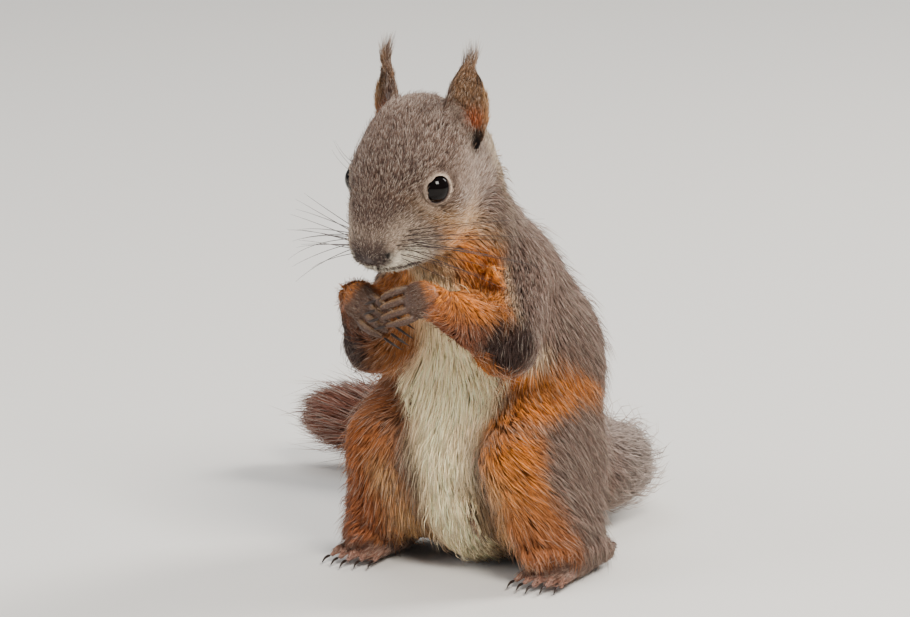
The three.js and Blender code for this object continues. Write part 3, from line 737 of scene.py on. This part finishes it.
    # Painted shade: the slit under the canal is laid near-black.
    lay(HOLE_SHADE, (ear + head) * np.minimum(blob(sided, CANAL - (0.3, 0, 0), (2.4, 3, 4.4)) * 1.6, 1))
    # Painted shade: the crease in front of the thigh is darkened.
    crease = 4 * leg * trunk * smooth(-14, -24, y) * smooth(12, 22, z)
    return tint * (1 - 0.45 * np.clip(crease, 0, 1))[:, None]


share = shares(shell, 5)
mark = skin.data.attributes["of_hand"]
of_hand = np.empty(len(shell.points), np.float32)
mark.data.foreach_get("value", of_hand)
skin.data.attributes.remove(mark)
share = np.where(of_hand[:, None] > 0.5, np.eye(len(PARTS))[PARTS.index("hand")], share)
trunk, neck, head, ear, upper_arm, forearm, hand, leg, foot, tail = share.T
normals = shell.normals()
tint = markings_and_painted_light(shell.points, normals, share)


def paint(mesh, name, colours):
    """Keeps a colour on each corner point of a mesh."""
    layer = mesh.color_attributes.new(name, "FLOAT_COLOR", "POINT")
    full = np.ones((len(colours), 4), np.float32)
    full[:, :3] = colours
    layer.data.foreach_set("color", full.ravel())


paint(skin.data, "marking_and_painted_light", tint * (0.8 - 0.1 * hand[:, None]))
flesh = Finish("skin")
grain = flesh.noise(0.0006, 4, 0.6)
flesh.set(
    Base_Color=flesh.mix(grain * 0.5, flesh.attribute("marking_and_painted_light", 0), colour(70, 50, 44), "MULTIPLY"),
    Roughness=0.5,
    Normal=flesh.bump(grain, 0.0003, 0.6),
)
skin.data.materials.clear()
skin.data.materials.append(flesh.material)
select(skin)
bpy.ops.object.shade_smooth()
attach(skin, "root")
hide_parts(*FLESH)


# ---------------------------------------------------------------- coat: how it lies
# The hair runs from the nose over the head, down the back and the limbs, and out along the tail. These
# are the coat's directions on every point of the skin, evened out like combed hair.

x, y, z = shell.points.T
outward = np.sign(x)


def towards(left_out, back, up):
    """A direction for every point, whose first part points away from the animal's middle."""
    return np.stack([outward * left_out, np.full(len(x), back), np.full(len(x), up)], axis=1)


local = in_head(shell.points)
nose = local - (0, -37, -3.5)
nose[:, 1] = np.maximum(nose[:, 1], 0.5) * 1.3 + 5
head_lie = unit(nose) @ HEAD_AXES.T
nearest = on_tail(shell.points)
spoke = unit(shell.points - tail_line[nearest])
brush = tail_tangents[nearest] * 0.86 + spoke * 0.5
wide = abs(x)
outer = smooth(17, 28, wide)
fingers = np.where(x[:, None] > 0, HANDS["left"][1], HANDS["right"][1])
knuckles = past_knuckles(shell.points)
by_hand = bell(np.maximum(-knuckles - 3, 0), 7)[:, None]
ledge = smooth(0.4, 0.9, normals[:, 2]) * smooth(92, 98, z)  # the top of the shoulder
lies = {
    "trunk": towards(0.12 + 0.9 * ledge, 0.25 - 0.5 * ledge, -1),
    "neck": towards(0.1, 0.35, -1),
    "head": head_lie,
    "ear": towards(0.1, 0.05, 1),
    "upper_arm": towards(0.3, -0.55, -0.8),
    "forearm": towards(0.35, 0.25, -0.75) * (1 - by_hand) + towards(-0.5, -0.8, 0.15) * by_hand,
    "hand": fingers,
    "leg": towards(0.05 + 0.85 * outer, 0.1 + 0.35 * outer, -1),
    "foot": towards(0.0, -1, -0.1),
    "tail": brush,
}
lie = sum(share[:, [index]] * unit(lies[part]) for index, part in enumerate(PARTS))
for _ in range(12):
    lie = shell.spread(lie, 2)
    lie = unit(lie - normals * (lie * normals).sum(axis=1, keepdims=True))
even_normals = unit(shell.spread(normals, 6))

# The room that the coat has at each point, out to the outline: the solids' walls that face one another
# are left out of it. A wall is one of them where a place this far off it lies inside another solid.
OFF_WALL = 0.8
walls = []
for face in faces:
    a, b, c = (Vector(corners[v]) for v in face)
    point = (a + b + c) / 3 + (b - a).cross(c - a).normalized() * OFF_WALL
    spot, normal, _, _ = solids.find_nearest(point)
    if (point - spot).dot(normal) > 0:
        walls.append(face)
outline = BVHTree.FromPolygons(corners, walls)
room = np.array([outline.find_nearest(Vector(point))[3] for point in shell.points])
room = np.clip(shell.spread(room[:, None], 8)[:, 0], 0.25, 14)
under = BVHTree.FromPolygons(shell.points.tolist(), shell.triangles.tolist())

# For each part: the length of a tuft and its width in millimetres, tufts on a square millimetre, how much
# of the room they fill, how far they stray, how much they gather in locks, and how often a tip is pale
# and how often it is dark.
LENGTH, WIDTH, DENSITY, FILL, STRAY, LOCK, PALE, DUSK = range(8)
COAT = {
    "trunk": (10.5, 0.32, 2.7, 0.95, 0.15, 0.3, 0.34, 0.22),
    "neck": (7.5, 0.3, 3.4, 0.95, 0.16, 0.3, 0.4, 0.2),
    "head": (3.6, 0.21, 7.4, 0.85, 0.2, 0.2, 0.4, 0.32),
    "ear": (3.0, 0.2, 7.0, 1.0, 0.2, 0.2, 0.16, 0.3),
    "upper_arm": (7.5, 0.3, 3.6, 1.0, 0.17, 0.3, 0.25, 0.2),
    "forearm": (5.6, 0.27, 5.0, 1.0, 0.18, 0.28, 0.26, 0.3),
    "hand": (1.5, 0.15, 8.0, 0.9, 0.2, 0.1, 0.3, 0.25),
    "leg": (10.0, 0.32, 3.5, 0.95, 0.15, 0.33, 0.26, 0.26),
    "foot": (3.4, 0.24, 6.0, 0.9, 0.2, 0.2, 0.2, 0.2),
    "tail": (22.0, 0.39, 5.2, 0.97, 0.3, 0.3, 0.45, 0.2),
}
PALE_TIP = np.array(colour(220, 204, 186)[:3])
DARK_TIP = np.array(colour(38, 28, 25)[:3])
traits = shell.spread(share @ np.array([COAT[part] for part in PARTS]), 4)


def vary(where, changes):
    """Makes each trait larger, or smaller, by its share, as far as the coat is of some kind."""
    for trait, amount in changes.items():
        traits[:, trait] *= 1 + amount * where


# Short on the muzzle, shorter round the eyes, none on the eyes, the nostrils and the soles.
half = local * mirrored(shell.points)
reach, _, past = from_eye(half)
muzzle = head * smooth(-20, -34, half[:, 1])
by_eye = head * (1 - smooth(8, 45, past)) * (1 - smooth(8, 11, reach))
traits[:, LENGTH] *= (1 - 0.5 * muzzle) * (1 - 0.6 * by_eye)
traits[:, LENGTH] *= 1 + 0.9 * head * smooth(-14, 2, half[:, 1]) * smooth(2, -14, half[:, 2])
vary(np.maximum(muzzle, by_eye), {WIDTH: -0.25, DENSITY: 0.5})
vary(by_eye, {FILL: -0.7})
bare = head * (past < 3.5) * (reach < 8.5)
bare = np.maximum(bare, head * (blob(half, NOSTRIL, NOSTRIL_SIZE * 1.2) > 0.45))
bare = np.maximum(bare, foot * (normals[:, 2] < -0.4))
bare = np.maximum(bare, hand * (knuckles < -5.5))
rise, across, _, sided = in_ear(shell.points, normals)
bare = np.maximum(bare, 0.7 * blob(sided, CANAL, (2.6, 3, 5)))
vary(bare, {DENSITY: -1})
# The wrist wears the forearm's hair, the toes hardly any; the ears end in a long tuft, and have a fringe.
traits[:, LENGTH] += 3.2 * hand * smooth(2, -4, knuckles)
at_fingers = hand * smooth(2, 5, knuckles)
vary(at_fingers, {LENGTH: -0.35, DENSITY: -0.35, FILL: -0.5})
at_heel = foot * smooth(-38, -26, y)
traits[:, LENGTH] += 4.0 * at_heel
vary(foot * smooth(-36, -42, y), {LENGTH: -0.55})
spire = ear * smooth(0.8, 0.97, rise)
vary(spire, {LENGTH: 1.5})
lie = unit(lie * (1 - spire[:, None]) + unit(towards(0.02, 0.15, 1)) * spire[:, None])
fringe = ear * smooth(0.65, 0.95, abs(across)) * (1 - spire)
vary(fringe, {LENGTH: 0.7})
belly = trunk * smooth(0.3, 0.8, -normals[:, 1]) * (1 - smooth(14, 22, wide))
vary(belly, {LENGTH: 0.25, PALE: -0.8, DUSK: -0.85})
hem = trunk * smooth(17, 8, z) * smooth(-10, -20, y)  # the belly's fur hangs down to the floor
vary(hem, {LENGTH: 0.2})
nape = (neck + head) * smooth(-4, 6, half[:, 1]) * smooth(100, 112, z)
traits[:, PALE] += 0.25 * nape
speckled = 1 - smooth(0.6, 0.9, tint[:, 0])
traits[:, DUSK] *= 0.35 + 0.65 * speckled
rufous = smooth(4, 8, tint[:, 0] / np.maximum(tint[:, 2], 0.01)) * (1 - ear)
dusky = (upper_arm + forearm) * (1 - smooth(0.06, 0.16, tint[:, 0]))
vary(np.clip(np.maximum(0.65 * rufous, dusky), 0, 1), {PALE: -0.85})
# Short where the shoulder meets the neck, thick round the bend of the tail.
shoulder = blob(shell.points * flipped(outward[:, None]), (22, -40, 104), 10)
vary(shoulder, {LENGTH: -0.6, FILL: -0.6, DENSITY: 0.6})
vary(blob(shell.points, (2, 66, 18), (16, 12, 14)), {DENSITY: 0.5})
# Shorter at the tip of the tail, and long over its root, where the back's hair falls on the brush.
at_tip = tail * smooth(-18, -2, nearest - float(len(tail_line)))
vary(at_tip, {LENGTH: -0.5, FILL: -0.5})
rump = (trunk + tail) * blob(shell.points, (4, 36, 32), (18, 13, 14))
traits[:, LENGTH] *= 1 + 0.4 * rump * trunk
vary(rump, {DENSITY: 0.5, PALE: -0.5})
# How much hair stands off the skin.
free = shell.spread((spire + 0.6 * fringe + 0.75 * hem + 0.6 * rump * trunk)[:, None], 2)


# ---------------------------------------------------------------- coat: its tufts
# Each part of the coat is one mesh of tufts: closed, three-sided and tapered, rooted in the skin, lying
# over their neighbours like tiles and gathered in locks. A tuft takes the colour of its root, darker at the
# foot for darker underfur and for painted shade of the coat over its roots, and some tips are pale or dark.

BURIED = 0.3  # the most that the foot of a tuft lies under the skin
PATCH = 0.003  # the side of a tuft's place in the map that is unwrapped for all of them
WILD_SHARE = 0.06  # of the tufts stand out of the coat
TUFTS_TO_A_LOCK = 14
TIP_OFF_FLOOR = 0.4
MIDDLE_OFF_FLOOR = 0.6
WAVES = 10


def unwrap(region, points):
    """Where roots lie on the skin, opened out round an axis of its part, from 0 to 1 each way."""
    if region == "tail":
        index = on_tail(points)
        spokes = points - tail_line[index]
        level = unit(np.cross(tail_tangents[index], (0, 0, 1)))
        along = index * 2.4 + (spokes * tail_tangents[index]).sum(axis=1)
        pair = np.stack([along, np.arctan2(spokes[:, 2], (spokes * level).sum(axis=1))], axis=1)
    else:
        middle = (points.min(axis=0) + points.max(axis=0)) / 2
        off = points - middle
        pair = np.stack([np.arctan2(off[:, 0], off[:, 1]), points[:, 2]], axis=1)
    lowest, highest = pair.min(axis=0), pair.max(axis=0)
    return 0.004 + 0.988 * (pair - lowest) / np.maximum(highest - lowest, 1e-6)


def noise_at(points, size, seed):
    """A smooth wander up and down from 0, of its own in each of three directions."""
    pick = np.random.default_rng(seed)
    waves = pick.normal(size=(WAVES, 3)) / size
    phases = pick.uniform(0, math.tau, (WAVES, 3))
    swell = pick.normal(size=(WAVES, 3)) / math.sqrt(WAVES)
    angle = points @ waves.T
    return sum(np.sin(angle[:, [i]] + phases[i]) * swell[i] for i in range(WAVES))


def follow(places, heights):
    """Places moved so that each lies at its height over the skin."""
    moved = np.empty_like(places)
    for i, place in enumerate(places):
        spot, normal, _, _ = under.find_nearest(Vector(place))
        moved[i] = spot
        ahead = Vector(place) - spot
        if ahead.length_squared > 1e-9 and ahead.dot(normal) > 0:
            moved[i] += np.array(ahead.normalized()) * heights[i]
        else:
            moved[i] += np.array(normal) * heights[i]
    return moved


def tufted(name, feet, middles, tips, widths, sides, ups, colours, patches):
    """A mesh of closed tufts: pointed at the foot and the tip, with three corners at the middle."""
    corners = np.empty((len(feet), 5, 3))
    corners[:, 0] = feet
    for k, (a, b) in enumerate(((-0.5, -0.1), (0.5, -0.1), (0.0, 0.4))):
        corners[:, k + 1] = middles + sides * (a * widths) + ups * (b * widths)
    corners[:, 4] = tips
    faces = np.array([(0, 2, 1), (0, 3, 2), (0, 1, 3), (1, 2, 4), (2, 3, 4), (3, 1, 4)])
    index = (faces[None] + (np.arange(len(feet)) * 5)[:, None, None]).reshape(-1)
    mesh = bpy.data.meshes.new(name)
    mesh.vertices.add(len(feet) * 5)
    mesh.vertices.foreach_set("co", (corners * MM).astype(np.float32).ravel())
    mesh.loops.add(len(index))
    mesh.loops.foreach_set("vertex_index", index.astype(np.int32))
    mesh.polygons.add(len(index) // 3)
    mesh.polygons.foreach_set("loop_start", np.arange(0, len(index), 3, dtype=np.int32))
    mesh.update(calc_edges=True)
    mesh.polygons.foreach_set("use_smooth", np.ones(len(index) // 3, bool))
    paint(mesh, "marking_and_painted_light", colours[:, (0, 1, 1, 1, 2)].reshape(-1, 3))
    local = np.array(((0.5, 0), (0, 0.5), (1, 0.5), (0.5, 0.6), (0.5, 1))) * PATCH
    flat = (patches[:, None] + local[None]).reshape(-1, 2)
    layer = mesh.uv_layers.new(name="OFBake")
    layer.data.foreach_set("uv", flat[index].astype(np.float32).ravel())
    return placed(name, mesh)


def grown(name, region, chosen, finish, seed):
    """The coat on the chosen triangles of the skin."""
    pick = np.random.default_rng(seed)
    triangles = shell.triangles[chosen]
    a, b, c = (shell.points[triangles[:, i]] for i in range(3))
    area = np.linalg.norm(np.cross(b - a, c - a), axis=1) / 2
    thick = area * traits[triangles, DENSITY].mean(axis=1) * 1
    count = int(thick.sum())
    found = np.searchsorted(np.cumsum(thick), pick.uniform(0, thick.sum(), count))
    found = np.minimum(found, len(triangles) - 1)
    first, second = np.sqrt(pick.uniform(size=count)), pick.uniform(size=count)
    weights = np.stack([1 - first, first * (1 - second), first * second], axis=1)
    picked = triangles[found]

    def at_roots(values):
        return (values[picked] * weights[:, :, None]).sum(axis=1)

    roots = at_roots(shell.points)
    up = unit(at_roots(even_normals))
    trait = at_roots(traits)
    base = at_roots(tint)
    wild = pick.uniform(size=count) < WILD_SHARE
    height = at_roots(room[:, None])[:, 0] * trait[:, FILL] * pick.uniform(0.55, 1.12, count)
    height = height * (1 + 0.6 * wild) + 0.5 * wild
    length = trait[:, LENGTH] * pick.uniform(0.7, 1.2, count) * (1 + 0.2 * wild)
    stray = noise_at(roots, 9, 5) * trait[:, [STRAY]] * 1.2
    stray = stray + pick.normal(size=(count, 3)) * trait[:, [STRAY]] * 0.7
    way = unit(at_roots(lie) + stray)
    way = unit(way - up * np.minimum((way * up).sum(axis=1, keepdims=True), 0))
    ends = roots + way * length[:, None]
    loose = at_roots(free)
    tips = follow(ends, height) * (1 - loose) + (ends + up * (0.12 * length)[:, None]) * loose
    # Locks: tips are drawn to the tip of the nearest leader.
    leaders = pick.choice(count, max(count // TUFTS_TO_A_LOCK, 1), replace=False)
    tree = KDTree(len(leaders))
    knots = roots + way * (0.4 * length)[:, None]
    for i, leader in enumerate(leaders):
        tree.insert(knots[leader], i)
    tree.balance()
    joined = leaders[[tree.find(Vector(knot))[1] for knot in knots]]
    near = np.linalg.norm(roots[joined] - roots, axis=1) < trait[:, LENGTH] * 0.6
    tips[:, 2] = np.maximum(tips[:, 2], TIP_OFF_FLOOR)
    pull = (trait[:, LOCK] * pick.uniform(0.5, 1.3, count) * near * ~wild)[:, None]
    tips = tips + (tips[joined] + (roots - roots[joined]) * 0.15 - tips) * np.clip(pull, 0, 0.85)
    middles = follow((roots + tips) / 2, height * 0.72)
    middles[:, 2] = np.maximum(middles[:, 2], MIDDLE_OFF_FLOOR)
    feet = roots - up * np.minimum(BURIED, trait[:, [LENGTH]] * 0.1)
    along = unit(tips - feet)
    side = unit(np.cross(along, up))
    thickness = unit(np.cross(side, along))
    widths = trait[:, [WIDTH]] * pick.uniform(0.7, 1.25, (count, 1)) * np.where(wild, 0.7, 1)[:, None]
    tone = pick.normal(1, 0.14, (count, 1)) * (1 + 0.12 * noise_at(roots, 14, 8)[:, :1])
    base = base * tone
    roll = pick.uniform(size=(count, 1))
    pale, dark = trait[:, [PALE]], trait[:, [DUSK]]
    tip = base * 1.12
    tip = np.where((roll < pale) | wild[:, None], tip * 0.35 + PALE_TIP * 0.65, tip)
    tip = np.where(roll > 1 - dark, tip * 0.35 + DARK_TIP * 0.65, tip)
    middle = np.where(roll > 1 - dark, base * 0.7, base)
    # The foot of a tuft is darker: darker underfur, and painted shade of the coat over it; pale fur is
    # darkened less.
    foot_tone = 0.5 + 0.45 * smooth(0.3, 0.8, base[:, 1:2])
    colours = np.clip(np.stack([base * foot_tone, middle, tip], axis=1), 0, 1)
    patches = unwrap(region, roots) * (1 - PATCH)
    piece = tufted(name, feet, middles, tips, widths, side, thickness, colours, patches)
    piece.data.materials.append(finish.material)
    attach(piece, "root")


fur = Finish("fur")
fur.set(Base_Color=fur.attribute("marking_and_painted_light", 0), Roughness=0.55, Specular_IOR_Level=0.35)

centres = shell.points[shell.triangles].mean(axis=1)
kinds = share[shell.triangles].mean(axis=1).argmax(axis=1)
left, off_floor = centres[:, 0] > 0, centres[:, 2] > 0
behind, by_crown = centres[:, 1] > -22, in_head(centres)[:, 1] > -13
# Each piece: the parts that it covers, where on them, and its slot.
REGIONS = {
    "coat_back": (("trunk", "neck"), behind, "coat"),
    "coat_front": (("trunk", "neck"), ~behind, "coat"),
    "coat_crown": (("head",), by_crown, "coat"),
    "coat_face": (("head",), ~by_crown, "coat"),
    "coat_ears": (("ear",), off_floor, "coat"),
    "coat_arm_left": (("upper_arm", "forearm"), left, "coat"),
    "coat_arm_right": (("upper_arm", "forearm"), ~left, "coat"),
    "coat_leg_left": (("leg",), left, "coat"),
    "coat_leg_right": (("leg",), ~left, "coat"),
    "coat_hands": (("hand",), off_floor, "hand"),
    "coat_feet": (("foot",), off_floor, "hand"),
    "coat_tail": (("tail",), off_floor, "tail"),
}
for seed, (name, (held, where, slot)) in enumerate(REGIONS.items()):
    chosen = np.isin(kinds, [PARTS.index(part) for part in held]) & where
    grown(name, held[0], chosen, fur, seed + 11)


# ---------------------------------------------------------------- whiskers
# Long, stiff, dark hairs, rooted in the skin: four rows on each side of the muzzle, three over each eye,
# and short bristles that hang from the upper lip.

WHISKER_SIDES = 5
WHISKER_ROWS = 4
BROW_HAIRS = 3
LIP_BRISTLES = 34
pick = np.random.default_rng(71)
strands = []  # root, way, length, sag, radius at the root and side: in the head's frame, as on the left
for sign in SIDES.values():
    for row in range(WHISKER_ROWS):
        for column in range(WHISKER_ROWS):
            root = np.array((8.6 - 0.3 * row, -36.0 + 2.1 * column, -2.6 - 1.7 * row))
            root = root + pick.normal(0, 0.25, 3)
            way = np.array((1.0, 0.14 * column, 0.2 - 0.14 * row)) + pick.normal(0, 0.07, 3)
            way = unit(way @ HEAD_AXES)
            length = (24 + 7 * column) * pick.uniform(0.85, 1.1)
            sag = np.array((-0.05, 0.16, -0.1)) @ HEAD_AXES * pick.uniform(0.6, 1.3)
            strands.append((root, way, length, sag, 0.15, sign))
    for column in range(BROW_HAIRS):
        root = np.array((10.6 + 1.3 * column, -18.5 + 2.2 * column, 8.6)) + pick.normal(0, 0.2, 3)
        way = unit(np.array((0.6, -0.25, 1.0)) + pick.normal(0, 0.1, 3))
        strands.append((root, way, pick.uniform(10, 15), np.array((0.1, 0.5, -0.1)), 0.1, sign))
    for step in np.linspace(0, 1, LIP_BRISTLES):
        root = np.array((6.4 + 3.2 * step, -38.6 + 6.6 * step, 0)) + (0, 0, pick.normal(0, 0.25))
        root[2] += -10.0 - 0.78 * (root[1] + 38.5)
        way = unit(np.array((0.25, -0.1, -1.0)) + pick.normal(0, 0.22, 3))
        strands.append((root, way, pick.uniform(2.0, 3.6), np.array((0, 0.2, 0)), 0.14, sign))
lines, radii = [], []
for root, way, length, sag, thick, sign in strands:
    start = Vector(from_head(root * (sign, 1, 1)))
    spot = np.array(under.find_nearest(start)[0])
    t = np.linspace(0, 1, 9)[:, None]
    line = (way * t + sag * t**2) * length
    line = spot + (line * (sign, 1, 1)) @ HEAD_AXES.T
    line[0] -= (line[1] - line[0]) / np.linalg.norm(line[1] - line[0]) * BURIED
    lines.append(line)
    radii.append(thick * (1 - 0.8 * t[:, 0]))
bristles = bmesh.new()
for line, radius in zip(lines, radii):
    tangents = unit(np.gradient(line, axis=0))
    side = unit(np.cross(tangents, (0.1, 0.2, 1)))
    lift = np.cross(side, tangents)
    rings = []
    for i in range(len(line)):
        angles = np.arange(WHISKER_SIDES) / WHISKER_SIDES * math.tau
        ring = line[i] + radius[i] * (np.cos(angles)[:, None] * side[i] + np.sin(angles)[:, None] * lift[i])
        rings.append([bristles.verts.new(point * MM) for point in ring])
    for lower, upper in zip(rings, rings[1:]):
        for k in range(WHISKER_SIDES):
            after = (k + 1) % WHISKER_SIDES
            bristles.faces.new((lower[k], lower[after], upper[after], upper[k]))
    bristles.faces.new(rings[0][::-1])
    bristles.faces.new(rings[-1])
bmesh.ops.recalc_face_normals(bristles, faces=bristles.faces[:])
mesh = bpy.data.meshes.new("whiskers")
bristles.to_mesh(mesh)
bristles.free()
mesh.polygons.foreach_set("use_smooth", np.ones(len(mesh.polygons), bool))
whiskers = placed("whiskers", mesh)
bristle = Finish("whisker")
bristle.set(Base_Color=colour(52, 40, 36), Roughness=0.4)
mesh.materials.append(bristle.material)
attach(whiskers, "root")


# ---------------------------------------------------------------- eyes
# Two dark globes behind a clear wet cornea, which shows as one glossy ball. Each sits in its socket and is
# held there by the lids.

eyeball = Finish("eye")
eyeball.set(Base_Color=colour(15, 9, 8), Roughness=0.05, Specular_IOR_Level=0.17)
for name, sign in SIDES.items():
    centre = from_head(EYE_CENTRE * (sign, 1, 1)) * MM
    bpy.ops.mesh.primitive_uv_sphere_add(segments=64, ring_count=32, radius=EYE_RADIUS * MM)
    eye = bpy.context.object
    eye.name = f"eyeball_{name}"
    eye.data.transform(Matrix.Translation(Vector(centre)))
    bpy.ops.object.shade_smooth()
    eye.data.materials.append(eyeball.material)
    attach(eye, "root")
    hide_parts(f"eye_{name}")


# ---------------------------------------------------------------- claws
# Four curved claws on each hand and five on each foot: dark horn, sharp at the tip, grown out of the ends
# of the digits. They keep their solids' form, rounded off.

CLAWS = [node for node in nodes if "claw" in node]
claws = merged("claws", sorted(CLAWS))
modified(claws, "SUBSURF", levels=1)
bpy.ops.object.shade_smooth()
horn = Finish("horn")
horn.set(Base_Color=colour(40, 30, 26), Roughness=0.5, Specular_IOR_Level=0.3)
claws.data.materials.clear()
claws.data.materials.append(horn.material)
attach(claws, "root")
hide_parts(*sorted(CLAWS))
